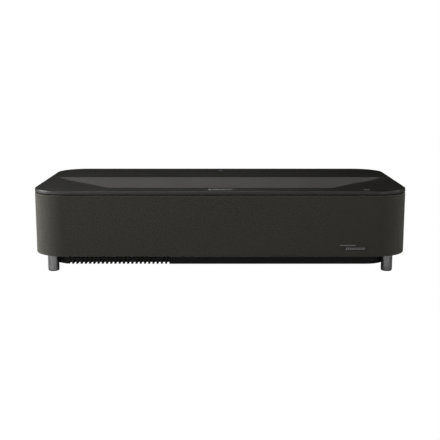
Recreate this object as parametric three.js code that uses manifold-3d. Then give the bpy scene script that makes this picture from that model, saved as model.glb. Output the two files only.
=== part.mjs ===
// Ultra-short-throw home projector: a low, wide box with cloth-wrapped speakers, a sunken light well in the
// lid, a sliding window shutter, a pull-out air filter and four screw feet.
// Millimetres. +Z is up, -Y faces the viewers and +Y the wall. The origin is on the floor, under the centre.
import * as THREE from "three";
import { mergeVertices } from "three/addons/utils/BufferGeometryUtils.js";
import Module from "manifold-3d";

const wasm = await Module();
wasm.setup();

// ---------------------------------------------------------------- driving dimensions
const WIDTH = 695;
const DEPTH = 341;
const HEIGHT = 158;
const CORNER_R = 59; // plan radius of the body's corners
const SKIRT_Z = 36.3; // lower edge of the cloth and the rear cover
const CLOTH_TOP_Z = 149.7;
const RIM_Z = 151.5; // underside of the lid's rim, above a shadow gap
const FRAME_TOP_Z = 151.2;
const DECK_Z = 155; // underside of the lid's flat deck
const EDGE_R = 2.5; // rounding of the lid's upper edge
const WALL = 2.5; // moulded wall
const CLEAR = 0.3; // gap between pieces that meet
const CLOTH_END_Y = 10; // the cloth covers the front and the sides up to here

const PLINTH_HALF_W = 318;
const PLINTH_HALF_D = 129;
const PLINTH_Z = 13;
const PLINTH_R = 43; // wide enough to pass behind the feet
const FLANGE_Z = 37; // underside of the flange that the feet screw into
const FLANGE_TOP_Z = 40;

const WELL_SLOPE = THREE.MathUtils.degToRad(6);
const WELL_REAR_Y = 24.6; // crease where the well's floor meets the deck
const WELL_FRONT_Y = -125.9;
const WELL_REAR_HALF = 325;
const WELL_FRONT_HALF = 211;
const WELL_LENGTH = (WELL_REAR_Y - WELL_FRONT_Y) / Math.cos(WELL_SLOPE);
const FLOOR_T = 2.5;

// along the well's floor, measured from the crease, negative towards the front
const WINDOW_HALF = 105;
const WINDOW_FRONT = -143;
const WINDOW_REAR = -90;
const SHUTTER_HALF = 121;
const SHUTTER_FRONT = -148;
const SHUTTER_REAR = -73;
const SHUTTER_TOP = -3.3;
const SHUTTER_BOTTOM = -5.5;

const GEAR_MODULE = 1;
const PINION_TEETH = 14;
const PINION_ALONG = -75.5;
const RACK_PITCH_DEPTH = -9;
const PINION_DEPTH = RACK_PITCH_DEPTH - (GEAR_MODULE * PINION_TEETH) / 2 - 0.1;
const PINION_X = 114;

const LENS_Z = 92; // height of the optical axis
const FOCUS_TEETH = 68;
const FOCUS_PINION_TEETH = 12;
const FOCUS_RING_Y = -30;

const FOOT_X = 315.7;
const FOOT_Y = 124;
const FOOT_R = 10.6;

const SLOT_PITCH = 8;
const SLOT_COUNT = 24;
const SLOT_W = 4.4;
const FILTER_X0 = -287.9; // left and right edges of the filter opening
const FILTER_X1 = -92.6;
const FILTER_REAR_Y = -29.5;

const SPEAKER_X = 236;
const BUTTON = { x: 268.8, y: -148.7, r: 7 };
const SENSOR = { y: 140.9, half: 4.5, r: 3.1 };
const BADGE = { x: 244.7, z: 53.6, halfX: 25.1, halfZ: 5.5, t: 0.9 };
const IO_BAY = { x0: -140, x1: 10, y: 152.5, z0: 50, z1: 90 };

const HALF_W = WIDTH / 2;
const HALF_D = DEPTH / 2;

// ---------------------------------------------------------------- materials
const paint = (color, roughness, metalness = 0) =>
  new THREE.MeshStandardMaterial({ color, roughness, metalness });
const BLACK = paint(0x1c1b1a, 0.45);
const WELL_GREY = paint(0x353432, 0.5);
const CLOTH = paint(0x34332e, 0.95);
const FRAME = paint(0x131313, 0.7);
const FOOT_METAL = paint(0x77777a, 0.35, 0.9);
const RUBBER = paint(0x0c0c0c, 0.9);
const ALUMINIUM = paint(0xb4b6b8, 0.4, 0.9);
const STEEL = paint(0x8c8f92, 0.45, 0.9);
const COPPER = paint(0xb06a3c, 0.35, 0.9);
const GLASS = paint(0x20242a, 0.05);
const MIRROR = paint(0xd8dde2, 0.03, 1);
const BOARD = paint(0x14402a, 0.6);
const GEAR_WHITE = paint(0xe4e0d4, 0.5);
const FILTER_WHITE = paint(0xd9d6cc, 0.95);
const PAPER = paint(0x24221f, 0.9);

// ---------------------------------------------------------------- solids
// A closed geometry as a solid that can be joined and cut.
function solid(geometry) {
  const bare = geometry.clone();
  bare.deleteAttribute("normal");
  bare.deleteAttribute("uv");
  const merged = mergeVertices(bare, 1e-4);
  return new wasm.Manifold(
    new wasm.Mesh({
      numProp: 3,
      vertProperties: merged.attributes.position.array,
      triVerts: new Uint32Array(merged.index.array),
    }),
  );
}

function geometryOf(made) {
  const { vertProperties, triVerts, numProp } = made.getMesh();
  const points = new Float32Array((vertProperties.length / numProp) * 3);
  for (let i = 0; i < points.length / 3; i++)
    for (let k = 0; k < 3; k++) points[3 * i + k] = vertProperties[numProp * i + k];
  const geometry = new THREE.BufferGeometry();
  geometry.setAttribute("position", new THREE.BufferAttribute(points, 3));
  geometry.setIndex(new THREE.BufferAttribute(new Uint32Array(triVerts), 1));
  geometry.computeVertexNormals();
  return geometry;
}

const join = (...pieces) => pieces.reduce((a, b) => a.add(b));
const cut = (from, ...pieces) => pieces.reduce((a, b) => a.subtract(b), from);

function box(x0, x1, y0, y1, z0, z1) {
  const geometry = new THREE.BoxGeometry(x1 - x0, y1 - y0, z1 - z0);
  geometry.translate((x0 + x1) / 2, (y0 + y1) / 2, (z0 + z1) / 2);
  return solid(geometry);
}

function roundedRect(halfX, halfY, r) {
  const shape = new THREE.Shape();
  shape.absarc(halfX - r, halfY - r, r, 0, Math.PI / 2);
  shape.absarc(r - halfX, halfY - r, r, Math.PI / 2, Math.PI);
  shape.absarc(r - halfX, r - halfY, r, Math.PI, 1.5 * Math.PI);
  shape.absarc(halfX - r, r - halfY, r, 1.5 * Math.PI, 2 * Math.PI);
  shape.closePath();
  return shape;
}

const bodyOutline = (inset) => roundedRect(HALF_W - inset, HALF_D - inset, CORNER_R - inset);
const plinthOutline = (inset) =>
  roundedRect(PLINTH_HALF_W - inset, PLINTH_HALF_D - inset, PLINTH_R - inset);

function polygon(points) {
  return new THREE.Shape(points.map(([x, y]) => new THREE.Vector2(x, y)));
}

// A flat outline raised from z0 to z1.
function slab(shape, z0, z1, curveSegments = 7) {
  const geometry = new THREE.ExtrudeGeometry(shape, {
    depth: z1 - z0,
    bevelEnabled: false,
    curveSegments,
  });
  geometry.translate(0, 0, z0);
  return solid(geometry);
}

// A body of revolution about Z from [radius, height] points that start and end on the axis.
function turned(profile, segments = 20) {
  const points = profile.map(([r, z]) => new THREE.Vector2(r, z));
  const geometry = new THREE.LatheGeometry(points, segments);
  geometry.rotateX(Math.PI / 2);
  return solid(geometry);
}

const rod = (r, z0, z1, segments = 16) =>
  turned([[0, z0], [r, z0], [r, z1], [0, z1]], segments);

// Turns a solid made about Z so that its +Z points along the named axis.
function along(axis, made) {
  const turns = { x: [0, 90, 0], y: [-90, 0, 0], "-y": [90, 0, 0], z: [0, 0, 0] };
  return made.rotate(turns[axis]);
}

function mesh(name, material, made) {
  const piece = new THREE.Mesh(geometryOf(made), material);
  piece.name = name;
  return piece;
}

// ---------------------------------------------------------------- gears
// A spur gear outline with plain flanks; teeth can cover only part of the rim.
function gearOutline(teeth, first = 0, last = teeth - 1, rimR = 0) {
  const pitch = (GEAR_MODULE * teeth) / 2;
  const step = (2 * Math.PI) / teeth;
  const root = pitch - 1.15 * GEAR_MODULE;
  const tip = pitch + 0.8 * GEAR_MODULE;
  const rootHalf = 0.92 / root;
  const tipHalf = 0.34 / tip;
  const points = [];
  const at = (r, angle) => points.push([r * Math.cos(angle), r * Math.sin(angle)]);
  for (let i = 0; i < teeth; i++) {
    const middle = i * step;
    if (i < first || i > last) {
      if (i % 3 === 0) at(rimR, middle);
      continue;
    }
    at(root, middle - rootHalf);
    at(tip, middle - tipHalf);
    at(tip, middle + tipHalf);
    at(root, middle + rootHalf);
  }
  return polygon(points);
}

// A rack under the shutter, its teeth pointing down, with a gap right over the pinion.
function rackSolid(x0, x1) {
  const step = Math.PI * GEAR_MODULE;
  const top = SHUTTER_BOTTOM - CLEAR;
  const rootDepth = RACK_PITCH_DEPTH + 1.15 * GEAR_MODULE;
  const tipDepth = RACK_PITCH_DEPTH - 0.8 * GEAR_MODULE;
  const front = SHUTTER_FRONT + 0.5;
  const rear = SHUTTER_REAR - 0.5;
  const points = [[front, top], [front, rootDepth]];
  const first = Math.ceil((front + 1.2 - PINION_ALONG) / step - 0.5);
  const last = Math.floor((rear - 1.2 - PINION_ALONG) / step - 0.5);
  for (let k = first; k <= last; k++) {
    const middle = PINION_ALONG + (k + 0.5) * step;
    points.push([middle - 1.05, rootDepth], [middle - 0.36, tipDepth]);
    points.push([middle + 0.36, tipDepth], [middle + 1.05, rootDepth]);
  }
  points.push([rear, rootDepth], [rear, top]);
  // drawn in (along, depth), raised along the shutter's width
  return slab(polygon(points), x0, x1).rotate([90, 0, 90]);
}

// ---------------------------------------------------------------- casing
// The well's outline in plan, grown or shrunk square to its edges.
function wellOutline(rearY, frontY, grow) {
  const lean = (WELL_REAR_HALF - WELL_FRONT_HALF) / (rearY - frontY);
  const side = grow * Math.hypot(1, lean);
  const rear = WELL_REAR_HALF + side + grow * lean;
  const front = WELL_FRONT_HALF + side - grow * lean;
  return polygon([
    [-front, frontY - grow],
    [front, frontY - grow],
    [rear, rearY + grow],
    [-rear, rearY + grow],
  ]);
}

function oval(half, r) {
  const shape = new THREE.Shape();
  shape.absarc(half, 0, r, -Math.PI / 2, Math.PI / 2);
  shape.absarc(-half, 0, r, Math.PI / 2, 1.5 * Math.PI);
  shape.closePath();
  return shape;
}

function topCover() {
  const rounded = new THREE.ExtrudeGeometry(bodyOutline(EDGE_R), {
    depth: HEIGHT - RIM_Z,
    bevelThickness: EDGE_R,
    bevelSize: EDGE_R,
    bevelSegments: 3,
    curveSegments: 7,
  });
  rounded.translate(0, 0, RIM_Z - EDGE_R);
  const lid = solid(rounded).intersect(
    box(-HALF_W, HALF_W, -HALF_D, HALF_D, RIM_Z, HEIGHT),
  );
  const hollow = slab(bodyOutline(4.5), RIM_Z - 1, DECK_Z);
  const opening = slab(wellOutline(WELL_REAR_Y, WELL_FRONT_Y, 0), 120, HEIGHT + 1);
  // walls that hang from the deck round the well, down to just under its sloping floor
  const skirtDrop = 3;
  const below = box(-400, 400, -400, 400, -60, 0)
    .rotate([6, 0, 0])
    .translate([0, WELL_REAR_Y, HEIGHT - skirtDrop]);
  const skirt = slab(wellOutline(WELL_REAR_Y, WELL_FRONT_Y, 2), 130, DECK_Z + 0.5);
  const buttonHole = rod(BUTTON.r + CLEAR, 150, 160).translate([BUTTON.x, BUTTON.y, 0]);
  const sensorHole = slab(oval(SENSOR.half, SENSOR.r + CLEAR), 150, 160, 4);
  return cut(
    join(cut(lid, hollow), cut(skirt, below)),
    opening,
    buttonHole,
    sensorHole.translate([0, SENSOR.y, 0]),
  );
}

// The front part of a ring that follows the body's outline.
function wrap(outerInset, innerInset, z0, z1) {
  const ring = cut(
    slab(bodyOutline(outerInset), z0, z1),
    slab(bodyOutline(innerInset), z0 - 1, z1 + 1),
  );
  return ring.intersect(box(-400, 400, -400, CLOTH_END_Y, 0, 200));
}

function speakerCloth() {
  const badgeWindow = box(
    BADGE.x - BADGE.halfX - CLEAR,
    BADGE.x + BADGE.halfX + CLEAR,
    -HALF_D - 1,
    -HALF_D + 3,
    BADGE.z - BADGE.halfZ - CLEAR,
    BADGE.z + BADGE.halfZ + CLEAR,
  );
  return cut(wrap(0, 1.2, SKIRT_Z, CLOTH_TOP_Z), badgeWindow);
}

function grilleFrame() {
  const slotStep = 12;
  const slots = [];
  for (const side of [-1, 1])
    for (let i = -4; i <= 4; i++) {
      const x = side * SPEAKER_X + i * slotStep - 4;
      slots.push(box(x, x + 8, -HALF_D - 1, -HALF_D + 8, 62, 122));
    }
  return cut(wrap(1.5, 4, SKIRT_Z + CLEAR, FRAME_TOP_Z), ...slots);
}

function rearCover() {
  const ring = cut(
    slab(bodyOutline(0), SKIRT_Z, FRAME_TOP_Z),
    slab(bodyOutline(WALL), 0, 200),
    cut(slab(bodyOutline(-1), CLOTH_TOP_Z, 200), slab(bodyOutline(1.5), 0, 200)),
    box(-400, 400, -400, CLOTH_END_Y + CLEAR, 0, 200),
  );
  const { x0, x1, y, z0, z1 } = IO_BAY;
  const bay = box(x0 - WALL, x1 + WALL, y - WALL, HALF_D - 1, z0 - WALL, z1 + WALL);
  // the bay has no back wall, since the sockets on the board close it
  const cavity = box(x0, x1, y - WALL - 1, HALF_D + 1, z0, z1);
  const cuts = [cavity, box(-249.1, -220.9, 140, 180, 59.2, 80.8)];
  // side louvres: a row of level slots in each flank
  const louvreStep = 7;
  for (let z = 52; z < 134; z += louvreStep)
    for (const side of [-1, 1])
      cuts.push(
        box(Math.min(side * 340, side * 350), Math.max(side * 340, side * 350), 20, 104, z, z + 3),
      );
  // rear louvres behind the heat sink
  for (let x = 130; x < 262; x += louvreStep) cuts.push(box(x, x + 3, 165, 175, 62, 122));
  return cut(join(ring, bay), ...cuts);
}

function bottomCase() {
  const outerPlinth = slab(plinthOutline(0), PLINTH_Z, FLANGE_TOP_Z, 4);
  const innerPlinth = slab(plinthOutline(WALL), PLINTH_Z + WALL, FLANGE_TOP_Z + 1, 4);
  const flange = slab(bodyOutline(4.3), FLANGE_Z, FLANGE_TOP_Z);
  const adds = [];
  const cuts = [];
  for (const x of [-FOOT_X, FOOT_X])
    for (const y of [-FOOT_Y, FOOT_Y]) {
      adds.push(rod(8, FLANGE_Z + 1, 66, 12).translate([x, y, 0]));
      cuts.push(rod(4.6, 30, 64, 12).translate([x, y, 0]));
    }
  // posts that carry the chassis plate
  for (const x of [-270, -75, 90, 275])
    for (const y of [-25, 95]) adds.push(box(x - 4, x + 4, y - 4, y + 4, PLINTH_Z + 1, 41));
  // walls round the filter bay
  const duct = cut(
    box(FILTER_X0 - 2, FILTER_X1 + 2, -128, FILTER_REAR_Y + 2, PLINTH_Z + 1, FLANGE_Z - 1),
    box(FILTER_X0, FILTER_X1, -140, FILTER_REAR_Y, 0, 60),
  ).intersect(slab(plinthOutline(1), 0, 60, 4));
  const opening = box(FILTER_X0, FILTER_X1, -140, FILTER_REAR_Y, 0, FLANGE_Z - CLEAR);
  return cut(join(cut(join(outerPlinth, flange), innerPlinth), duct, ...adds), opening, ...cuts);
}

function chassisPlate() {
  const plate = box(-311, 311, -45, 114, 41.3, 42.8);
  const fanHole = rod(36, 40, 45, 24).translate([-185, 5, 0]);
  return cut(plate, fanHole, box(-70, 70, -30, 30, 40, 45));
}

// ---------------------------------------------------------------- air filter
function filterCover() {
  const x0 = FILTER_X0 + CLEAR;
  const x1 = FILTER_X1 - CLEAR;
  const front = -PLINTH_HALF_D;
  const rear = FILTER_REAR_Y - 1.5;
  const tray = cut(
    box(x0, x1, front, rear, PLINTH_Z, PLINTH_Z + 12),
    box(x0 + 2, x1 - 2, front + WALL, rear - 2, PLINTH_Z + WALL, 60),
  ).intersect(slab(plinthOutline(0), 0, 60, 4));
  const face = cut(
    slab(plinthOutline(0), PLINTH_Z, SKIRT_Z - CLEAR, 4),
    slab(plinthOutline(WALL), 0, 60, 4),
  ).intersect(box(x0, x1, front - 1, front + 20, 0, 60));
  const cuts = [];
  const firstSlot = -282.4;
  for (let i = 0; i < SLOT_COUNT; i++) {
    const a = firstSlot + i * SLOT_PITCH - SLOT_W / 2;
    const b = a + SLOT_W;
    // the lower slots run round the corner into the floor; a rib parts them from the upper row
    cuts.push(box(a, b, front - 1, front + 15, PLINTH_Z - 1, 22.2).subtract(
      box(a - 1, b + 1, front + WALL, front + 20, PLINTH_Z + WALL, 30),
    ));
    cuts.push(box(a, b, front - 1, front + 2 * WALL, 24.2, 34.4));
  }
  // wide windows under the filter
  const windowStep = (x1 - x0 - 8) / 6;
  for (let x = x0 + 6; x < x1 - 12; x += windowStep)
    cuts.push(box(x, x + windowStep - 4, front + 22, rear - 8, PLINTH_Z - 1, PLINTH_Z + WALL + 1));
  return cut(join(tray, face), ...cuts);
}

function filterElement() {
  const x0 = FILTER_X0 + 3;
  const x1 = FILTER_X1 - 3;
  const pleats = 16;
  const step = (x1 - x0) / pleats;
  const points = [[x0, 16], [x1, 16]];
  for (let i = pleats; i > 0; i--) points.push([x0 + i * step, 19], [x0 + (i - 0.5) * step, 24.6]);
  points.push([x0, 19]);
  return slab(polygon(points), 33.5, 124).rotate([90, 0, 0]);
}

// ---------------------------------------------------------------- feet
function footSleeve() {
  return turned(
    [
      [0, 8], [3, 8], [3, 1.4], [9.9, 1.4], [FOOT_R, 2.2], [FOOT_R, 36.7],
      [4, 36.7], [4, 62], [0, 62],
    ],
    20,
  );
}

const footPad = () =>
  turned([[0, 0], [9.3, 0], [10, 0.5], [10, 1.1], [2.6, 1.1], [2.6, 7.4], [0, 7.4]]);

// ---------------------------------------------------------------- speakers
function speakerBox(side) {
  const shell = cut(
    box(168, 305, -158, -82, 46, 138),
    box(171, 302, -155, -85, 49, 135),
    along("y", rod(31.5, -170, -150, 20)).translate([SPEAKER_X, 0, LENS_Z]),
  );
  return side < 0 ? shell.mirror([1, 0, 0]) : shell;
}

const speakerDriver = () =>
  turned(
    [
      [0, -139.5], [18, -139.5], [29.5, -157], [29.5, -161], [38, -161], [38, -158.3],
      [31, -158.3], [20, -137], [27, -137], [27, -118], [0, -118],
    ],
  );

// Cone with a domed dust cap, its mouth towards the front.
const speakerCone = () =>
  turned(
    [
      [0, -151.6], [6, -150.6], [11, -148.4], [26, -159.4], [28.6, -159.4], [28.6, -158.2],
      [26.6, -158.2], [9, -145], [0, -145],
    ],
  );

// ---------------------------------------------------------------- light path
function lightWell() {
  const plate = slab(wellOutline(0, -WELL_LENGTH, -0.6), -FLOOR_T, 0);
  return cut(plate, box(-WINDOW_HALF, WINDOW_HALF, WINDOW_FRONT, WINDOW_REAR, -9, 9));
}

// A plate under the window, larger than the window all round by margin.
const windowPlate = (margin, z0, z1) =>
  box(-WINDOW_HALF - margin, WINDOW_HALF + margin, WINDOW_FRONT - margin, WINDOW_REAR + margin, z0, z1);

// A ledge under the shutter's edge with a wall outside it; side is -1 or 1.
function shutterRail(side) {
  const section = polygon([[119.4, -8.3], [128, -8.3], [128, -2.8], [121.6, -2.8], [121.6, -5.8], [119.4, -5.8]]);
  const rail = slab(section, 2, 150).rotate([90, 0, 0]);
  return side < 0 ? rail.mirror([1, 0, 0]) : rail;
}

const shutterPinion = () =>
  cut(
    slab(gearOutline(PINION_TEETH), -3.2, 3.2).rotate([0, 0, 90]),
    rod(1.8, -9, 9, 12),
  );

function mirrorHood() {
  const top = 125.5;
  return cut(
    box(-104, 104, -158, -48, 60, top),
    box(-101.5, 101.5, -155.5, -50.5, 62.5, 200),
    along("y", rod(26.5, -60, -40, 28)).translate([0, 0, LENS_Z]),
  );
}

function concaveMirror() {
  const dish = new THREE.SphereGeometry(85, 32, 20);
  dish.translate(0, -62, 128);
  return cut(box(-80, 80, -153, -118, 66, 120), solid(dish));
}

const projectionLens = () =>
  turned(
    [
      [0, -70], [20, -70], [22, -72], [25.5, -70], [25.5, 10], [33, 12], [33, 34], [40, 34],
      [40, 39.7], [0, 39.7],
    ],
    24,
  );

function focusRing() {
  // the toothed sector is centred on -X, where the pinion sits
  const middle = FOCUS_TEETH / 2;
  const outline = gearOutline(FOCUS_TEETH, middle - 9, middle + 9, 31);
  return cut(slab(outline, -6, 6), rod(26.2, -9, 9, 24));
}

// ---------------------------------------------------------------- light source and cooling
const legs = (places, x, y, z0, z1) =>
  places.map(([i, j]) => box(x + i - 4, x + i + 4, y + j - 4, y + j + 4, z0, z1));

function lightEngine() {
  return join(
    box(-72, 72, 40, 98, 62, 122),
    box(-50, 50, 90, 122, 66, 118),
    box(-30, 30, 60, 90, 120, 127),
    ...legs([[-60, 8], [60, 8], [-60, 50], [60, 50]], 0, 40, 43.1, 64),
  );
}

function wheelHousing() {
  return cut(
    join(
      box(72.3, 112, 52, 118, 60, 124),
      ...legs([[6, 6], [34, 6], [6, 60], [34, 60]], 72.3, 52, 43.1, 62),
    ),
    box(74.3, 110, 54, 116, 62, 130),
  );
}

const phosphorWheel = () =>
  cut(
    join(rod(26, -0.6, 0.6, 28), rod(9, -2.2, 2.2)),
    rod(1.8, -9, 9, 12),
  );

const motor = (bodyR, z0, z1, shaftR, shaftZ0) =>
  join(rod(bodyR, z0, z1), rod(shaftR, shaftZ0, z0 + 1, 8));

function laserModule() {
  return join(
    box(112.3, 176, 52, 118, 60, 124),
    ...[0, 1, 2, 3, 4, 5].map((i) => box(120 + 9 * i, 123 + 9 * i, 56, 114, 123, 129)),
    ...legs([[8, 6], [56, 6], [8, 60], [56, 60]], 112.3, 52, 43.1, 62),
  );
}

function laserHeatsink() {
  const fins = [];
  for (let i = 0; i < 14; i++) fins.push(box(181, 264, 47 + 5.8 * i, 48.4 + 5.8 * i, 60.3, 132));
  return join(box(176.3, 182, 47, 123.8, 60.3, 132), ...fins);
}

// Flattened U of heat pipe that lies under the laser module and its heat sink.
function heatPipe() {
  const bend = new THREE.Shape();
  bend.absarc(238, 86, 15, -Math.PI / 2, Math.PI / 2);
  bend.lineTo(130, 101);
  bend.lineTo(130, 95);
  bend.absarc(238, 86, 9, Math.PI / 2, -Math.PI / 2, true);
  bend.lineTo(130, 77);
  bend.lineTo(130, 71);
  bend.closePath();
  return slab(bend, 56, 59.7, 5);
}

const FAN_HALF = 40;
const FAN_BORE = 37.5;

// A square axial fan frame about Z, with a motor seat on four struts at its far end.
function fanFrame(depth) {
  const seatZ = depth / 2 - 3;
  const ring = cut(
    box(-FAN_HALF, FAN_HALF, -FAN_HALF, FAN_HALF, -depth / 2, depth / 2),
    rod(FAN_BORE, -depth, depth, 28),
    ...[-1, 1].flatMap((i) => [-1, 1].map((j) => rod(2.2, -depth, depth, 6).translate([35.5 * i, 35.5 * j, 0]))),
  );
  const strut = box(-FAN_HALF + 1, FAN_HALF - 1, -1.5, 1.5, seatZ, depth / 2);
  return join(
    ring,
    rod(15, seatZ, depth / 2),
    strut.rotate([0, 0, 30]),
    strut.rotate([0, 0, 120]),
  );
}

// A rotor about Z with twisted blades joined to its hub.
function fanRotor(depth) {
  const top = depth / 2 - 4.5;
  const bottom = -depth / 2 + 1.5;
  const blades = [];
  const count = 7;
  for (let i = 0; i < count; i++) {
    const blade = box(10, 35.5, -0.9, 0.9, bottom + 2, top - 1);
    blades.push(blade.rotate([38, 0, 0]).rotate([0, 0, (360 * i) / count]));
  }
  return join(rod(14, bottom, top), ...blades);
}

// ---------------------------------------------------------------- electronics
const PORTS = [
  { name: "hdmi_port_1", x: -120, z: 70, w: 15, h: 6, rows: 1 },
  { name: "hdmi_port_2", x: -96, z: 70, w: 15, h: 6, rows: 1 },
  { name: "hdmi_port_3", x: -72, z: 70, w: 15, h: 6, rows: 1 },
  { name: "usb_ports", x: -44, z: 70, w: 14, h: 16, rows: 2 },
  { name: "optical_port", x: -18, z: 70, w: 10, h: 10, rows: 1 },
];

// A socket shell on the board, open towards the rear; stacked sockets share one shell.
function portShell(port) {
  const mouth = IO_BAY.y - 0.5;
  const shell = box(-port.w / 2, port.w / 2, 131.9, mouth, -port.h / 2, port.h / 2);
  const wall = 0.6;
  const rowH = port.h / port.rows;
  const cavities = [];
  for (let i = 0; i < port.rows; i++) {
    const low = -port.h / 2 + i * rowH + wall;
    cavities.push(
      box(wall - port.w / 2, port.w / 2 - wall, mouth - 10, mouth + 1, low, low + rowH - 2 * wall),
    );
  }
  return cut(shell, ...cavities).translate([port.x, 0, port.z]);
}

function mainBoard() {
  return join(
    box(-160, 95, 130, 131.6, 40.3, 128),
    box(-140, -110, 127.2, 130.5, 96, 120),
    box(-95, -78, 127.2, 130.5, 100, 114),
    box(30, 60, 124, 130.5, 84, 114),
    box(-150, -90, 127.5, 130.5, 50, 58),
    box(70, 88, 125, 130.5, 60, 90),
  );
}

function powerSupply() {
  const caps = [[-285, 128], [-262, 128], [-285, 106]].map(([x, y]) =>
    rod(9, 46.5, 78, 16).translate([x, y, 0]),
  );
  return join(
    box(-300, -165, 60, 145, 46, 47.6),
    box(-245, -205, 95, 132, 47, 82),
    box(-200, -196, 66, 138, 47, 86),
    box(-240, -215, 64, 86, 47, 68),
    box(-190, -172, 70, 96, 47, 62),
    ...caps,
    ...legs([[0, 0], [120, 0]], -290, 70, 43.1, 46.5),
  );
}

function acInlet() {
  const pins = [[-7, -2], [7, -2], [0, 3.5]].map(([x, z]) =>
    box(x - 1, x + 1, 152, 164, z - 2, z + 2),
  );
  const shell = cut(
    box(-13.8, 13.8, 148, HALF_D - 0.3, -10.5, 10.5),
    box(-12, 12, 153, 175, -8.2, 8.2),
  );
  return join(shell, ...pins).translate([-235, 0, 70]);
}

// ---------------------------------------------------------------- lid fittings
function powerButton() {
  return turned(
    [[0, 151.6], [2.5, 151.6], [2.5, 153], [8.4, 153], [8.4, 154.7], [BUTTON.r, 154.7], [BUTTON.r, 157.5],
      [BUTTON.r - 0.3, 157.8], [0, 157.8]],
  ).translate([BUTTON.x, BUTTON.y, 0]);
}

function buttonSwitch() {
  return join(box(-10, 10, -8, 8, 145.2, 146.8), box(-3.5, 3.5, -3.5, 3.5, 146, 149), rod(1.8, 148, 150.7, 12))
    .translate([BUTTON.x, BUTTON.y, 0]);
}

function sensorWindow() {
  return join(
    slab(oval(SENSOR.half, SENSOR.r), 153, HEIGHT - 0.2, 4),
    slab(oval(SENSOR.half + 1, SENSOR.r + 1.5), 152.6, 154.6, 4),
  ).translate([0, SENSOR.y, 0]);
}

// ---------------------------------------------------------------- assembly
const projector = new THREE.Group();
const add = (name, material, made) => projector.add(mesh(name, material, made));

add("top_cover", BLACK, topCover());
add("rear_cover", BLACK, rearCover());
add("bottom_case", BLACK, bottomCase());
add("chassis_plate", STEEL, chassisPlate());
add("grille_frame", FRAME, grilleFrame());
add("speaker_cloth", CLOTH, speakerCloth());
add(
  "sound_badge",
  ALUMINIUM,
  box(
    BADGE.x - BADGE.halfX,
    BADGE.x + BADGE.halfX,
    -HALF_D,
    -HALF_D + BADGE.t,
    BADGE.z - BADGE.halfZ,
    BADGE.z + BADGE.halfZ,
  ),
);
add("filter_cover", BLACK, filterCover());
add("filter_element", FILTER_WHITE, filterElement());

// everything that follows the well's sloping floor
const slope = new THREE.Group();
slope.position.set(0, WELL_REAR_Y, HEIGHT);
slope.rotation.x = WELL_SLOPE;
projector.add(slope);
const addSloped = (name, material, made) => slope.add(mesh(name, material, made));
addSloped("light_well", WELL_GREY, lightWell());
addSloped(
  "lens_shutter",
  WELL_GREY,
  box(-SHUTTER_HALF, SHUTTER_HALF, SHUTTER_FRONT, SHUTTER_REAR, SHUTTER_BOTTOM, SHUTTER_TOP),
);
addSloped("shutter_rack", GEAR_WHITE, rackSolid(PINION_X - 3.5, PINION_X + 3.5));
addSloped(
  "shutter_pinion",
  GEAR_WHITE,
  shutterPinion().rotate([0, 90, 0]).rotate([-90, 0, 0]).translate([PINION_X, PINION_ALONG, PINION_DEPTH]),
);
addSloped(
  "shutter_motor",
  STEEL,
  along("x", motor(9, 17, 43, 1.5, -3)).translate([PINION_X, PINION_ALONG, PINION_DEPTH]),
);
addSloped("shutter_rail_left", FRAME, shutterRail(-1));
addSloped("shutter_rail_right", FRAME, shutterRail(1));
addSloped("projection_window", GLASS, windowPlate(2.5, -13.5, -10.5));
addSloped("window_frame", FRAME, cut(windowPlate(2.5, -16.5, -13.8), windowPlate(-5, -20, -10)));

add("mirror_hood", FRAME, mirrorHood());
add("concave_mirror", MIRROR, concaveMirror());
add("projection_lens", FRAME, along("y", projectionLens()).translate([0, 0, LENS_Z]));
add("focus_ring", GEAR_WHITE, along("y", focusRing()).translate([0, FOCUS_RING_Y, LENS_Z]));
const focusPinionX = -(GEAR_MODULE * (FOCUS_TEETH + FOCUS_PINION_TEETH)) / 2 - 0.1;
add(
  "focus_pinion",
  GEAR_WHITE,
  along("y", cut(slab(gearOutline(FOCUS_PINION_TEETH), -5, 5).rotate([0, 0, 15]), rod(1.5, -9, 9, 12)))
    .translate([focusPinionX, FOCUS_RING_Y, LENS_Z]),
);
add(
  "focus_motor",
  STEEL,
  along("y", motor(7, 8, 36, 1.2, -5)).translate([focusPinionX, FOCUS_RING_Y, LENS_Z]),
);
add("light_engine", ALUMINIUM, lightEngine());
add("wheel_housing", STEEL, wheelHousing());
add("phosphor_wheel", ALUMINIUM, along("x", phosphorWheel()).translate([90, 85, LENS_Z]));
add("phosphor_motor", STEEL, along("x", motor(12, 3, 15, 1.5, -2)).translate([90, 85, LENS_Z]));
add("laser_module", ALUMINIUM, laserModule());
add("laser_heatsink", ALUMINIUM, laserHeatsink());
add("heat_pipe", COPPER, heatPipe());
add("exhaust_fan_frame", FRAME, along("x", fanFrame(25)).translate([324.5, 62, 90]));
add("exhaust_fan_rotor", BLACK, along("x", fanRotor(25)).translate([324.5, 62, 90]));
add("intake_fan_frame", FRAME, fanFrame(20).translate([-185, 5, 53.2]));
add("intake_fan_rotor", BLACK, fanRotor(20).translate([-185, 5, 53.2]));
add("power_supply", BOARD, powerSupply());
add("main_board", BOARD, mainBoard());
for (const port of PORTS) add(port.name, STEEL, portShell(port));
add("ac_inlet", FRAME, acInlet());
add("power_button", BLACK, powerButton());
add("button_switch", FRAME, buttonSwitch());
add("rear_sensor_window", GLASS, sensorWindow());

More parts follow.
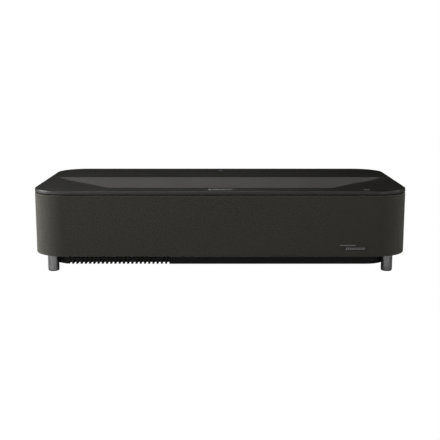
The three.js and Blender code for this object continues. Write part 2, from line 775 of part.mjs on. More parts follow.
for (const [side, sign] of [["left", -1], ["right", 1]]) {
  const place = [sign * SPEAKER_X, 0, LENS_Z];
  add("speaker_box_" + side, FRAME, speakerBox(sign));
  add("speaker_driver_" + side, STEEL, along("y", speakerDriver()).translate(place));
  add("speaker_cone_" + side, PAPER, along("y", speakerCone()).translate(place));
}
for (const [end, y] of [["front", -FOOT_Y], ["rear", FOOT_Y]])
  for (const [side, x] of [["left", -FOOT_X], ["right", FOOT_X]]) {
    add(`foot_sleeve_${end}_${side}`, FOOT_METAL, footSleeve().translate([x, y, 0]));
    add(`foot_pad_${end}_${side}`, RUBBER, footPad().translate([x, y, 0]));
  }

export default projector;
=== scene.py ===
"""Looks of the home projector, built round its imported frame.

Shapes are drawn in millimetres in the frame's axes (+Z up, -Y towards the viewers) and made in metres.
"""

import math

import bmesh
import bpy
from mathutils import Matrix, Vector
from mathutils.geometry import tessellate_polygon


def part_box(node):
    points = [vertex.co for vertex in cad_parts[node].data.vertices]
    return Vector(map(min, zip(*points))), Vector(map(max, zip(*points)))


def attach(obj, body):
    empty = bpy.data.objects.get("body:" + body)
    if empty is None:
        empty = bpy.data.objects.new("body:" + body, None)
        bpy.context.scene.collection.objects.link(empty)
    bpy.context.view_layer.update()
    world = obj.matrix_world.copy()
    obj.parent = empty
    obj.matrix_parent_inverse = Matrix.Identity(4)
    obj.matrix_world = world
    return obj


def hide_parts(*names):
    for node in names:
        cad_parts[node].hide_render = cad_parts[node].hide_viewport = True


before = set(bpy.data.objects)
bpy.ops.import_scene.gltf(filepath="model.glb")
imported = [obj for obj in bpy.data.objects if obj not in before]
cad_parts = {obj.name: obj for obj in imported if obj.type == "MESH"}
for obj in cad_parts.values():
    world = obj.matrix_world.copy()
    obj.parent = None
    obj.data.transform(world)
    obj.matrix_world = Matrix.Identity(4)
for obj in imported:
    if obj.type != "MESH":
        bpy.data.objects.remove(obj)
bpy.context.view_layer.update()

# ---------------------------------------------------------------- dimensions, millimetres
MM = 0.001
HALF_W, HALF_D, TOP = 347.5, 170.5, 158.0
CORNER_R = 59.0
CORNER_STEPS = 28
SHARP_ANGLE = 32  # degrees; edges that turn by more are kept sharp

RIM_Z = 151.5
DECK_Z = 155.0
LID_ROUND = 1.5

SLOPE = math.radians(6)
WELL_REAR_Y, WELL_FRONT_Y = 24.6, -125.9
WELL_REAR_HALF, WELL_FRONT_HALF = 325.0, 211.0
WELL_LEAN = (WELL_REAR_HALF - WELL_FRONT_HALF) / (WELL_REAR_Y - WELL_FRONT_Y)
WELL_LENGTH = (WELL_REAR_Y - WELL_FRONT_Y) / math.cos(SLOPE)
WELL_SIDE_STEPS = 30
DIP_SHARE, DIP_REACH = 0.9, 48.0  # how deep and how far from the tips the deck sinks towards the well
SOFT_REACH, SOFT_STEPS = 42, 8  # how wide the sunk band of the deck is, and its rows
SLOPED = Matrix.Translation((0, WELL_REAR_Y, TOP)) @ Matrix.Rotation(SLOPE, 4, "X")
WINDOW_HALF, WINDOW_FRONT, WINDOW_REAR = 105.0, -143.0, -90.0
SHUTTER = (121.0, -148.0, -73.0, -5.5, -3.3)  # half width, front, rear, underside, top

CLOTH_END_Y = 10.0
CLOTH_LOW, CLOTH_HIGH = 36.3, 149.7
CLOTH_T = 0.5

FOOT_X, FOOT_Y, FOOT_R = 315.7, 124.0, 10.6
STUD_R, STUD_Z0, STUD_Z1, THREAD_PITCH = 4.0, 38.0, 62.0, 1.5
THREAD_DEPTH = 0.75
SCREW_R = 2.6

BUTTON = (268.8, -148.7, 7.0)  # middle x and y, radius
SIGN_R, SIGN_LINE, SIGN_LOW, SIGN_HIGH = 4.35, 0.5, 157.6, 157.86  # radius, half width of its line, z
SENSOR_Y, SENSOR_HALF, SENSOR_R = 140.9, 4.5, 3.1
LAMP_Y, LAMP_HALF, LAMP_LOW, LAMP_HIGH = -148.7, 2.6, TOP - 0.2, TOP + 0.04
WIDE_LAMP_X, FIRST_LAMP_X, LAMP_PITCH, LAMP_COUNT = -19.4, -13.2, 3.8, 10
BADGE_X, BADGE_Z = 244.7, 53.6
BAY = (-140, 10, 50, 90)  # the connector bay's left, right, bottom and top
PANEL_Y, PANEL_T = 151.6, 1.4
HDMI = ("hdmi_port_1", "hdmi_port_2", "hdmi_port_3")

# ---------------------------------------------------------------- camera, light and floor, metres
CAMERA_PLACE = (-0.00025, -1.6944, 0.3848)
CAMERA_PITCH = math.radians(10.404)
CAMERA_LENS = 69.47

SIDE_LIGHTS = 2.1  # distance of the low lights
LOW_STRIPS = ((-35, 2.3), (-15, 0.8), (5, 1.0), (25, 3.1), (45, 2.35))  # azimuth, watts
FLOOR_HALF, FLOOR_Z = 30.0, -0.0004
FLOOR_LIT = (0.28, 0.0)  # base and glow towards the object
FLOOR_SEEN = (0.0, 1.0)  # base and glow towards the camera


# ---------------------------------------------------------------- outlines
def rounded(half_x, half_y, r, steps=CORNER_STEPS):
    """A rectangle with round corners, anticlockwise from the middle of its right side."""
    points = []
    for i, (sx, sy) in enumerate(((1, 1), (-1, 1), (-1, -1), (1, -1))):
        for k in range(steps + 1):
            a = math.pi / 2 * (i + k / steps)
            points.append((sx * (half_x - r) + r * math.cos(a), sy * (half_y - r) + r * math.sin(a)))
    return points


def body_outline(inset):
    return rounded(HALF_W - inset, HALF_D - inset, CORNER_R - inset)


def circle(r, x=0.0, y=0.0, steps=48):
    turn = 2 * math.pi / steps
    return [(x + r * math.cos(k * turn), y + r * math.sin(k * turn)) for k in range(steps)]


def shifted(points, x, y):
    return [(px + x, py + y) for px, py in points]


def arc(start, end, steps):
    """Angles in radians from start to end degrees."""
    return [math.radians(start + (end - start) * k / steps) for k in range(steps + 1)]


def stadium(half, r, steps=16):
    """A bar with round ends, lying along X."""
    right = [(half + r * math.cos(a), r * math.sin(a)) for a in arc(-90, 90, steps)]
    left = [(-half + r * math.cos(a), r * math.sin(a)) for a in arc(90, 270, steps)]
    return right + left


def offset(points, d):
    """An anticlockwise outline moved inwards by d."""
    moved = []
    for i, p in enumerate(points):
        into = Vector(p) - Vector(points[i - 1])
        out = Vector(points[(i + 1) % len(points)]) - Vector(p)
        a = Vector((-into.y, into.x)).normalized()
        b = Vector((-out.y, out.x)).normalized()
        shift = (a + b) * (d / (1 + a.dot(b)))
        moved.append((p[0] + shift.x, p[1] + shift.y))
    return moved


# ---------------------------------------------------------------- shapes
class Shape:
    """Points and faces in millimetres, gathered before they become a mesh."""

    def __init__(self):
        self.points, self.faces = [], []

    def ring(self, points):
        first = len(self.points)
        self.points += points
        return list(range(first, len(self.points)))

    def level(self, outline, z):
        return self.ring([(x, y, z) for x, y in outline])

    def bands(self, rings, closed=True):
        for a, b in zip(rings, rings[1:]):
            for i in range(len(a) - (0 if closed else 1)):
                j = (i + 1) % len(a)
                self.faces.append((a[i], a[j], b[j], b[i]))

    def fill(self, outer, *holes):
        """A flat face inside the outer ring and outside the holes, seen along Z."""
        loops = [outer, *holes]
        flat = [i for loop in loops for i in loop]
        drawn = [[Vector((*self.points[i][:2], 0)) for i in loop] for loop in loops]
        for tri in tessellate_polygon(drawn):
            self.faces.append(tuple(flat[k] for k in tri))

    def add(self, other, place=Matrix()):
        first = len(self.points)
        self.points += [tuple(place @ Vector(p)) for p in other.points]
        self.faces += [tuple(i + first for i in face) for face in other.faces]


def edge_steps(low, high, edge, steps=3):
    """(inset, z) pairs up a wall whose lower and upper edges are rounded."""
    turns = [math.pi / 2 * k / steps for k in range(steps + 1)]
    lower = [(edge * (1 - math.sin(t)), low + edge * (1 - math.cos(t))) for t in turns]
    return lower + [(inset, low + high - z) for inset, z in reversed(lower)]


def plate(outer, low, high, holes=(), edge=0.4):
    """A flat solid with rounded edges, inside the outline and round the holes."""
    shape = Shape()
    lows, highs = [], []
    for k, outline in enumerate([outer, *holes]):
        way = 1 if k == 0 else -1
        rings = [shape.level(offset(outline, way * d), z) for d, z in edge_steps(low, high, edge)]
        shape.bands(rings)
        lows.append(rings[0])
        highs.append(rings[-1])
    shape.fill(*lows)
    shape.fill(*highs)
    return shape


def block(x0, x1, y0, y1, z0, z1, edge=0.2):
    outline = [(x0, y0), (x1, y0), (x1, y1), (x0, y1)]
    return plate(outline, z0, z1, edge=edge)


def turned(profile, steps=64):
    """A body of revolution about Z; the profile's (r, z) points start and end on the axis."""
    shape = Shape()
    rings = [shape.level(circle(r, steps=steps), z) for r, z in profile[1:-1]]
    shape.bands(rings)
    for (_, z), ring in ((profile[0], rings[0]), (profile[-1], rings[-1])):
        (tip,) = shape.ring([(0.0, 0.0, z)])
        shape.faces += [(ring[i - 1], ring[i], tip) for i in range(steps)]
    return shape


# ---------------------------------------------------------------- pieces
def smoothed(bm, angle):
    """Smooth faces with sharp edges where the surface turns by more than the angle."""
    for face in bm.faces:
        face.smooth = True
    for edge in bm.edges:
        edge.smooth = len(edge.link_faces) == 2 and edge.calc_face_angle(0) < math.radians(angle)


def finish_piece(obj, body, material, node):
    obj.data.materials.clear()
    obj.data.materials.append(material)
    weigh = obj.modifiers.new("even shading", "WEIGHTED_NORMAL")
    weigh.keep_sharp = True
    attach(obj, body)
    if node:
        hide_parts(node)
    return obj


def piece(name, shape, material, slot, body="housing", node=None, place=Matrix(), angle=SHARP_ANGLE):
    """A mesh object from a shape, riding on a body and standing for a CAD node if one is named."""
    mesh = bpy.data.meshes.new(name)
    points = [tuple((place @ Vector(p)) * MM) for p in shape.points]
    mesh.from_pydata(points, [], shape.faces)
    bm = bmesh.new()
    bm.from_mesh(mesh)
    bmesh.ops.remove_doubles(bm, verts=bm.verts, dist=1e-6)
    bmesh.ops.recalc_face_normals(bm, faces=bm.faces)
    smoothed(bm, angle)
    bm.to_mesh(mesh)
    bm.free()
    obj = bpy.data.objects.new(name, mesh)
    bpy.context.scene.collection.objects.link(obj)
    return finish_piece(obj, body, material, node)


def refined(node, name, material, bevel, body="housing"):
    """A copy of a CAD node with its edges softened."""
    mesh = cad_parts[node].data.copy()
    bm = bmesh.new()
    bm.from_mesh(mesh)
    bmesh.ops.remove_doubles(bm, verts=bm.verts, dist=1e-6)
    flat = math.radians(0.5)
    bmesh.ops.join_triangles(bm, faces=bm.faces, angle_face_threshold=flat, angle_shape_threshold=math.pi)
    smoothed(bm, SHARP_ANGLE)
    bm.to_mesh(mesh)
    bm.free()
    obj = bpy.data.objects.new(name, mesh)
    bpy.context.scene.collection.objects.link(obj)
    soften = obj.modifiers.new("softened edges", "BEVEL")
    soften.width = bevel * MM
    soften.segments = 2
    soften.limit_method = "ANGLE"
    soften.angle_limit = math.radians(40)
    soften.miter_outer = "MITER_ARC"
    soften.use_clamp_overlap = True
    return finish_piece(obj, body, material, node)


# ---------------------------------------------------------------- materials
class Nodes:
    """A material's node tree with short ways to add to it."""

    def __init__(self, name):
        self.material = bpy.data.materials.new(name)
        self.material.use_nodes = True
        self.tree = self.material.node_tree
        self.shader = self.tree.nodes["Principled BSDF"]
        self.place = self.add("ShaderNodeTexCoord").outputs["Object"]

    @classmethod
    def of(cls, material):
        """The same short ways for a material that is already made."""
        n = cls.__new__(cls)
        n.material, n.tree = material, material.node_tree
        n.shader = n.tree.nodes["Principled BSDF"]
        n.place = n.add("ShaderNodeTexCoord").outputs["Object"]
        return n

    def add(self, kind, **values):
        node = self.tree.nodes.new(kind)
        for key, value in values.items():
            if key in node.inputs:
                node.inputs[key].default_value = value
            else:
                setattr(node, key, value)
        return node

    def link(self, out, into):
        self.tree.links.new(out, into)

    def set(self, **values):
        for key, value in values.items():
            self.shader.inputs[key.replace("_", " ")].default_value = value

    def noise(self, scale, detail=3.0, rough=0.55, stretch=(1, 1, 1), place=None):
        mapping = self.add("ShaderNodeMapping")
        mapping.inputs["Scale"].default_value = stretch
        self.link(place or self.place, mapping.inputs["Vector"])
        made = self.add("ShaderNodeTexNoise", Scale=scale, Detail=detail, Roughness=rough)
        self.link(mapping.outputs["Vector"], made.inputs["Vector"])
        return made.outputs["Fac"]

    def math(self, operation, *terms):
        node = self.add("ShaderNodeMath", operation=operation)
        for i, term in enumerate(terms):
            if isinstance(term, (int, float)):
                node.inputs[i].default_value = term
            else:
                self.link(term, node.inputs[i])
        return node.outputs[0]

    def spread(self, factor, low, high):
        """The factor's middle range stretched to low..high."""
        node = self.add("ShaderNodeMapRange")
        node.inputs["From Min"].default_value = 0.3
        node.inputs["From Max"].default_value = 0.7
        node.inputs["To Min"].default_value = low
        node.inputs["To Max"].default_value = high
        self.link(factor, node.inputs["Value"])
        return node.outputs["Result"]

    def blend(self, factor, a, b):
        node = self.add("ShaderNodeMix", data_type="RGBA")
        self.link(factor, node.inputs["Factor"])
        for key, colour in (("A", a), ("B", b)):
            socket = [s for s in node.inputs if s.name == key and s.type == "RGBA"][0]
            if hasattr(colour, "node"):
                self.link(colour, socket)
            else:
                socket.default_value = (*colour, 1)
        return [s for s in node.outputs if s.type == "RGBA"][0]

    def colour(self, socket):
        self.link(socket, self.shader.inputs["Base Color"])

    def rough(self, socket):
        self.link(socket, self.shader.inputs["Roughness"])

    def bump(self, height, strength, distance):
        node = self.add("ShaderNodeBump", Strength=strength, Distance=distance)
        self.link(height, node.inputs["Height"])
        self.link(node.outputs["Normal"], self.shader.inputs["Normal"])


def scaled(colour, k):
    return tuple(c * k for c in colour)


def moulded(name, colour, rough, grain=0.25, specular=0.5, patches=0.08):
    """Injection-moulded plastic: a fine spark-eroded grain and slightly uneven gloss."""
    n = Nodes(name)
    large = n.noise(14, 2.0)
    fine = n.noise(2600, 1.0)
    n.colour(n.blend(n.spread(large, 0, 1), scaled(colour, 1 - patches), scaled(colour, 1 + patches)))
    n.rough(n.math("ADD", n.spread(large, rough - 0.012, rough + 0.012), n.spread(fine, -0.04, 0.04)))
    n.bump(fine, grain, 0.00006)
    n.set(Specular_IOR_Level=specular)
    return n.material


def with_painted_edge_highlight(material):
    """The lid's plastic with a painted highlight: a little paler where the deck rolls over into the well,
    standing in for the light that the rolled-over edge catches.
    """
    n = Nodes.of(material)
    parts = n.add("ShaderNodeSeparateXYZ")
    n.link(n.place, parts.inputs["Vector"])
    across = n.math("ABSOLUTE", parts.outputs["X"])
    y = parts.outputs["Y"]
    lean = n.math("MULTIPLY", n.math("SUBTRACT", y, WELL_FRONT_Y * MM), WELL_LEAN)
    beyond = n.math("SUBTRACT", n.math("SUBTRACT", across, lean), WELL_FRONT_HALF * MM)
    away = n.math("DIVIDE", n.math("MAXIMUM", beyond, 0.0), PAINTED_HIGHLIGHT_REACH)
    near = n.math("MAXIMUM", n.math("SUBTRACT", 1.0, away), 0.0)
    ahead = n.math("LESS_THAN", y, (WELL_REAR_Y + 0.3) * MM)
    rise = n.add("ShaderNodeMapRange", interpolation_type="SMOOTHSTEP")
    rise.inputs["From Min"].default_value = (WELL_FRONT_Y - 15) * MM
    rise.inputs["From Max"].default_value = -0.04
    n.link(y, rise.inputs["Value"])
    falling = n.math("MULTIPLY", n.math("POWER", near, 1.8), ahead)
    pale = n.math("MULTIPLY", falling, rise.outputs["Result"])
    plain = n.shader.inputs["Base Color"].links[0].from_socket
    # painted highlight: the well's colour mixed into the deck along the well's slanted edges, strongest
    # towards their rear tips
    n.colour(n.blend(n.math("MULTIPLY", pale, PAINTED_HIGHLIGHT_SHARE), plain, WELL_COLOUR))
    return material


def worked_metal(name, colour, rough, stretch=(1, 1, 1), scale=900, grain=0.15):
    """Metal with fine tool marks drawn out along one axis and faint smudges."""
    n = Nodes(name)
    marks = n.noise(scale, 2.0, stretch=stretch)
    smudge = n.noise(45, 3.0)
    n.colour(n.blend(n.spread(marks, 0, 1), scaled(colour, 0.86), scaled(colour, 1.1)))
    n.rough(n.math("ADD", n.spread(smudge, rough - 0.05, rough + 0.05), n.spread(marks, -0.06, 0.06)))
    n.bump(marks, grain, 0.00004)
    n.set(Metallic=1.0)
    return n.material


def woven(name, dark, light):
    """Melange speaker cloth: a plain weave whose threads vary in tone along their length."""
    n = Nodes(name)
    thread = 1.05 * MM
    uv = n.add("ShaderNodeUVMap", uv_map="cloth").outputs["UV"]
    parts = n.add("ShaderNodeSeparateXYZ")
    n.link(uv, parts.inputs["Vector"])
    across = n.math("MULTIPLY", parts.outputs["X"], math.pi / thread)
    up = n.math("MULTIPLY", parts.outputs["Y"], math.pi / thread)
    warp = n.math("ABSOLUTE", n.math("SINE", across))
    weft = n.math("ABSOLUTE", n.math("SINE", up))
    over = n.math("MULTIPLY", n.math("SINE", across), n.math("SINE", up))
    top = n.math("GREATER_THAN", over, 0.0)
    pick = n.add("ShaderNodeMix", data_type="FLOAT")
    n.link(top, pick.inputs["Factor"])
    n.link(warp, pick.inputs[2])
    n.link(weft, pick.inputs[3])
    relief = pick.outputs[0]
    warp_tone = n.noise(1 / thread, 2.0, stretch=(1.3, 0.22, 1), place=uv)
    weft_tone = n.noise(1 / thread, 2.0, stretch=(0.22, 1.3, 1), place=uv)
    tone = n.add("ShaderNodeMix", data_type="FLOAT")
    n.link(top, tone.inputs["Factor"])
    n.link(warp_tone, tone.inputs[2])
    n.link(weft_tone, tone.inputs[3])
    slubs = n.noise(560, 1.0, place=uv)
    mixed = n.math("ADD", n.math("MULTIPLY", tone.outputs[0], 0.45), n.math("MULTIPLY", slubs, 0.55))
    yarn = n.blend(n.spread(mixed, -0.1, 1.1), dark, light)
    # painted shade: the weave darkens well below its darkest yarn where the threads dip between one
    # another
    shade = n.spread(relief, 0.35, 1.0)
    n.colour(n.blend(shade, scaled(dark, 0.35), yarn))
    n.bump(n.math("ADD", relief, n.math("MULTIPLY", tone.outputs[0], 0.3)), 0.7, 0.00025)
    n.set(Roughness=0.92, Sheen_Weight=0.6, Sheen_Roughness=0.4, Specular_IOR_Level=0.2)
    n.shader.inputs["Sheen Tint"].default_value = (0.75, 0.74, 0.66, 1)
    return n.material


def circuit(name):
    """Green solder mask over faint copper tracks."""
    n = Nodes(name)
    cells = n.add("ShaderNodeTexVoronoi", Scale=420.0, distance="MANHATTAN", feature="DISTANCE_TO_EDGE")
    n.link(n.place, cells.inputs["Vector"])
    tracks = n.math("LESS_THAN", cells.outputs["Distance"], 0.09)
    n.colour(n.blend(tracks, (0.008, 0.055, 0.028), (0.02, 0.12, 0.06)))
    n.bump(tracks, 0.3, 0.00004)
    n.set(Roughness=0.35, Coat_Weight=0.4)
    return n.material


def glass(name, tint, clear):
    """Coated glass with faint smudges; clear is how much of the light goes through."""
    n = Nodes(name)
    smudge = n.noise(60, 3.0)
    n.rough(n.spread(smudge, 0.02, 0.05))
    n.colour(n.blend(n.spread(smudge, 0, 1), scaled(tint, 0.95), tint))
    n.set(Transmission_Weight=clear, IOR=1.5, Coat_Weight=0.5, Coat_Roughness=0.02)
    n.set(Thin_Film_Thickness=380.0, Thin_Film_IOR=1.38)
    return n.material


def paper(name, colour):
    """Pressed fibres: filter fleece and speaker cones."""
    n = Nodes(name)
    fibres = n.noise(1400, 4.0, stretch=(1, 1, 3))
    n.colour(n.blend(n.spread(fibres, 0, 1), scaled(colour, 0.8), scaled(colour, 1.15)))
    n.bump(fibres, 0.5, 0.0001)
    n.set(Roughness=0.9)
    return n.material


def marking(name, colour):
    """Pad-printed ink, faintly worn."""
    n = Nodes(name)
    worn = n.noise(1800, 2.0)
    n.colour(n.blend(n.spread(worn, 0, 1), scaled(colour, 0.85), colour))
    n.set(Roughness=0.5)
    return n.material


LID_COLOUR = (0.0117, 0.0109, 0.0098)
WELL_COLOUR = (0.066, 0.063, 0.059)
PAINTED_HIGHLIGHT_REACH = 0.036  # metres from the well's slanted edge over which the painted highlight makes the deck paler
PAINTED_HIGHLIGHT_SHARE = 0.26  # how much of the well's colour is mixed into the deck as painted highlight, at most
# the lid's plastic, with a painted highlight on the deck beside the well's slanted edges
LID = with_painted_edge_highlight(moulded("satin_black_lid", LID_COLOUR, 0.4, grain=0.1))
WELL = moulded("satin_grey_well", WELL_COLOUR, 0.6, grain=0.2, specular=0.25)
SHELL = moulded("matt_black_shell", (0.0115, 0.0112, 0.0112), 0.6, grain=0.3, specular=0.2)
INNER = moulded("black_inner_plastic", (0.012, 0.012, 0.012), 0.6, grain=0.3)
# black frame plastic darkened to near black as painted shade, so the shadow gap under the lid's rim reads
# dark
FRAME_BLACK_AND_PAINTED_SHADE = moulded("black_frame_painted_shade", (0.003, 0.003, 0.003), 0.95, grain=0.6, specular=0.05)
RUBBER = moulded("rubber", (0.012, 0.012, 0.012), 0.85, grain=0.5, specular=0.3)
NYLON = moulded("natural_nylon", (0.62, 0.6, 0.52), 0.45, grain=0.15)
CLOTH = woven("melange_cloth", (0.0125, 0.012, 0.0095), (0.058, 0.0555, 0.046))
FLEECE = paper("filter_fleece", (0.03, 0.03, 0.032))
CONE = paper("pressed_paper", (0.02, 0.019, 0.018))
BOARD = circuit("circuit_board")
FOOT = worked_metal("satin_steel", (0.4, 0.4, 0.405), 0.28, stretch=(1, 1, 0.02), scale=1500, grain=0.04)
CAST = worked_metal("cast_aluminium", (0.62, 0.63, 0.64), 0.45, grain=0.5, scale=1200)
STEEL = worked_metal("zinc_steel", (0.5, 0.51, 0.52), 0.38, stretch=(1, 0.05, 1))
COPPER = worked_metal("copper", (0.72, 0.38, 0.22), 0.25, stretch=(0.05, 1, 1))
DARK_METAL = worked_metal("dark_anodised", (0.05, 0.05, 0.052), 0.4, stretch=(0.02, 1, 1))
BADGE = worked_metal("satin_nickel", (0.3, 0.29, 0.29), 0.55, stretch=(0.03, 1, 1))
SILVER = worked_metal("mirror_silver", (0.9, 0.91, 0.92), 0.06, grain=0.0)
WINDOW = glass("coated_glass", (0.5, 0.5, 0.56), 0.9)
SMOKED = glass("smoked_glass", (0.3, 0.28, 0.31), 0.15)
INK = marking("pale_ink", (0.78, 0.76, 0.76))
GREY_INK = marking("grey_ink", (0.22, 0.22, 0.22))


# ---------------------------------------------------------------- lid and well
def well_side_x(y, grow=0.0):
    """Half width of the well at y, its outline grown square to its edges."""
    return WELL_FRONT_HALF + (y - WELL_FRONT_Y) * WELL_LEAN + grow * math.hypot(1, WELL_LEAN)


def well_depth(y):
    """How far the well's floor lies below the deck at y."""
    return (WELL_REAR_Y - y) * math.tan(SLOPE)


def well_ring(grow, height, reach=0.0):
    """Points round the well, anticlockwise from its front right corner; height gives z at y."""
    front, rear = WELL_FRONT_Y - grow, WELL_REAR_Y + grow
    right = []
    for k in range(WELL_SIDE_STEPS + 1):
        y = front + (rear - front) * k / WELL_SIDE_STEPS
        room = HALF_W - LID_ROUND - 4 - well_side_x(y, grow)
        x = well_side_x(y, grow) + min(room, SOFT_REACH) * reach
        right.append((x, y, height(min(max(y, WELL_FRONT_Y), WELL_REAR_Y))))
    return right + [(-x, y, z) for x, y, z in reversed(right)]


def dip(y):
    """How far the deck has sunk at the well's slanted edge: most just in front of the tips."""
    return well_depth(y) * DIP_SHARE * math.exp(-(((WELL_REAR_Y - y) / DIP_REACH) ** 2))


def lid_shape():
    """The lid: its rim, its deck rolling into the well, and the holes for the key and the sensor."""
    shape = Shape()
    profile = [(4.6, DECK_Z), (4.6, RIM_Z + 0.3), (4.3, RIM_Z), (0.6, RIM_Z), (0.15, RIM_Z + 0.15)]
    profile += [(0, RIM_Z + 0.6), (0.1, TOP - 3.4)]
    top_arc = TOP - LID_ROUND
    for t in arc(8, 90, 7):
        profile.append((0.25 + LID_ROUND * (1 - math.cos(t)), top_arc + LID_ROUND * math.sin(t)))
    outer = [shape.level(body_outline(inset), z) for inset, z in profile]
    shape.bands(outer)

    soft = []
    for k in range(SOFT_STEPS, -1, -1):
        reach = k / SOFT_STEPS
        sink = (1 - reach) ** 2
        soft.append(shape.ring(well_ring(0.5, lambda y: TOP - dip(y) * sink, reach)))
    soft.append(shape.ring(well_ring(0.15, lambda y: TOP - dip(y) - 0.15)))
    soft.append(shape.ring(well_ring(0.0, lambda y: TOP - dip(y) - 0.5)))
    soft.append(shape.ring(well_ring(0.0, lambda y: TOP - well_depth(y) - 2.9)))
    soft.append(shape.ring(well_ring(2.0, lambda y: TOP - well_depth(y) - 3.2)))
    soft.append(shape.ring(well_ring(2.0, lambda y: DECK_Z)))
    shape.bands(soft)

    tops, lows = [], []
    button = circle(BUTTON[2] + 0.3, BUTTON[0], BUTTON[1])
    sensor = shifted(stadium(SENSOR_HALF, SENSOR_R + 0.3), 0, SENSOR_Y)
    for outline in (button, sensor):
        steps = [(0.35, TOP), (0.1, TOP - 0.1), (0, TOP - 0.35), (0, DECK_Z)]
        rings = [shape.level(offset(outline, -d), z) for d, z in steps]
        shape.bands(rings)
        tops.append(rings[0])
        lows.append(rings[-1])
    shape.fill(outer[-1], soft[0], *tops)
    shape.fill(outer[0], soft[-1], *lows)
    return shape


def build_lid():
    piece("lid", lid_shape(), LID, "lid_plastic", node="top_cover", angle=40)
    gap = 0.18
    front = -WELL_LENGTH + gap
    floor = [
        (-well_side_x(WELL_FRONT_Y) + gap, front),
        (well_side_x(WELL_FRONT_Y) - gap, front),
        (WELL_REAR_HALF - 2 * gap, -gap),
        (-WELL_REAR_HALF + 2 * gap, -gap),
    ]
    middle = (WINDOW_FRONT + WINDOW_REAR) / 2
    window = rounded(WINDOW_HALF, (WINDOW_REAR - WINDOW_FRONT) / 2, 2.5, 8)
    piece(
        "well_floor",
        plate(floor, -2.5, 0, holes=[shifted(window, 0, middle)], edge=0.35),
        WELL,
        "well_plastic",
        node="light_well",
        place=SLOPED,
    )
    half, front, rear, low, high = SHUTTER
    door = shifted(rounded(half, (rear - front) / 2, 1.5, 6), 0, (rear + front) / 2)
    shape = plate(door, low, high, edge=0.4)
    for k in range(5):
        y = front + 22 + 2.2 * k
        shape.add(block(-16, 16, y - 0.45, y + 0.45, high - 0.1, high + 0.35, edge=0.2))
    piece("shutter_door", shape, WELL, "well_plastic", "shutter", "lens_shutter", SLOPED)


def build_power_key():
    x, y, r = BUTTON
    at = Matrix.Translation((x, y, 0))
    dish = [(r * k / 6, 157.8 - 0.25 * (1 - (k / 6) ** 2)) for k in range(5, 0, -1)]
    key = [(0, 151.6), (2.5, 151.6), (2.5, 153), (8.4, 153), (8.4, 154.7), (r, 154.7), (r, 157.3)]
    key += [(r - 0.15, 157.65), (r - 0.5, 157.8), *dish, (0, 157.55)]
    piece("power_key", turned(key), LID, "lid_plastic", "button", "power_button", at)

    # a power sign: an open ring with a short bar in its gap
    sign = Shape()
    outer = [(SIGN_R + SIGN_LINE) * Vector((math.cos(a), math.sin(a))) for a in arc(122, 418, 30)]
    inner = [(SIGN_R - SIGN_LINE) * Vector((math.cos(a), math.sin(a))) for a in arc(418, 122, 30)]
    loop = [tuple(p) for p in outer + inner]
    sign.add(plate(loop, SIGN_LOW, SIGN_HIGH, edge=0.05))
    sign.add(block(-SIGN_LINE, SIGN_LINE, 1.6, 6.0, SIGN_LOW, SIGN_HIGH, edge=0.05))
    piece("power_sign", sign, GREY_INK, "foot_metal", "button", place=at)


def build_sensor_lens():
    lens = plate(stadium(SENSOR_HALF, SENSOR_R), 153, TOP + 0.1, edge=0.3)
    lens.add(plate(stadium(SENSOR_HALF + 1, SENSOR_R + 1.5), 152.6, 154.6, edge=0.2))
    at = Matrix.Translation((0, SENSOR_Y, 0))
    piece("sensor_lens", lens, SMOKED, "window_glass", node="rear_sensor_window", place=at)


def build_status_lamps():
    """Plain lamps on the front deck: one wide and a row of narrow ones of three widths."""
    lamps = Shape()
    wide = plate(rounded(2.2, LAMP_HALF, 0.6, 5), LAMP_LOW, LAMP_HIGH, edge=0.04)
    lamps.add(wide, Matrix.Translation((WIDE_LAMP_X, LAMP_Y, 0)))
    for k in range(LAMP_COUNT):
        outline = rounded(0.75 + 0.35 * (k % 3), LAMP_HALF, 0.5, 5)
        at = Matrix.Translation((FIRST_LAMP_X + LAMP_PITCH * k, LAMP_Y, 0))
        lamps.add(plate(outline, LAMP_LOW, LAMP_HIGH, edge=0.04), at)
    piece("status_lamps", lamps, INK, "foot_metal")


# ---------------------------------------------------------------- cloth and badge
def front_path(inset):
    """From the cloth's left end round the front to its right end."""
    outline = [p for p in body_outline(inset) if p[1] < 0]
    return [(-HALF_W + inset, CLOTH_END_Y), *outline, (HALF_W - inset, CLOTH_END_Y)]


def build_cloth():
    low_r, high_r = 1.5, 1.6
    profile = [(3.9, CLOTH_LOW), (2.6, CLOTH_LOW)]
    profile += [(low_r * (1 - math.sin(t)), CLOTH_LOW + low_r * (1 - math.cos(t))) for t in arc(0, 90, 5)]
    top = CLOTH_HIGH - high_r
    profile += [(0, CLOTH_LOW + 12 * k) for k in range(1, 10)]
    profile += [(high_r * (1 - math.cos(t)), top + high_r * math.sin(t)) for t in arc(0, 90, 4)]
    shape = Shape()
    rings = [shape.level(front_path(inset), z) for inset, z in profile]
    shape.bands(rings, closed=False)
    cloth = piece("cloth_wrap", shape, CLOTH, "speaker_fabric", node="speaker_cloth")

    # arc length along the path and height up the cloth, in metres, carry the weave
    path = front_path(0)
    run = [0.0]
    for a, b in zip(path, path[1:]):
        run.append(run[-1] + math.dist(a, b))
    climb = [0.0]
    for a, b in zip(profile, profile[1:]):
        climb.append(climb[-1] + math.dist(a, b))
    places = [(u * MM, v * MM) for v in climb for u in run]
    layer = cloth.data.uv_layers.new(name="cloth")
    for loop in cloth.data.loops:
        layer.data[loop.index].uv = places[loop.vertex_index]

    thick = cloth.modifiers.new("cloth thickness", "SOLIDIFY")
    thick.thickness = CLOTH_T * MM
    thick.offset = -1


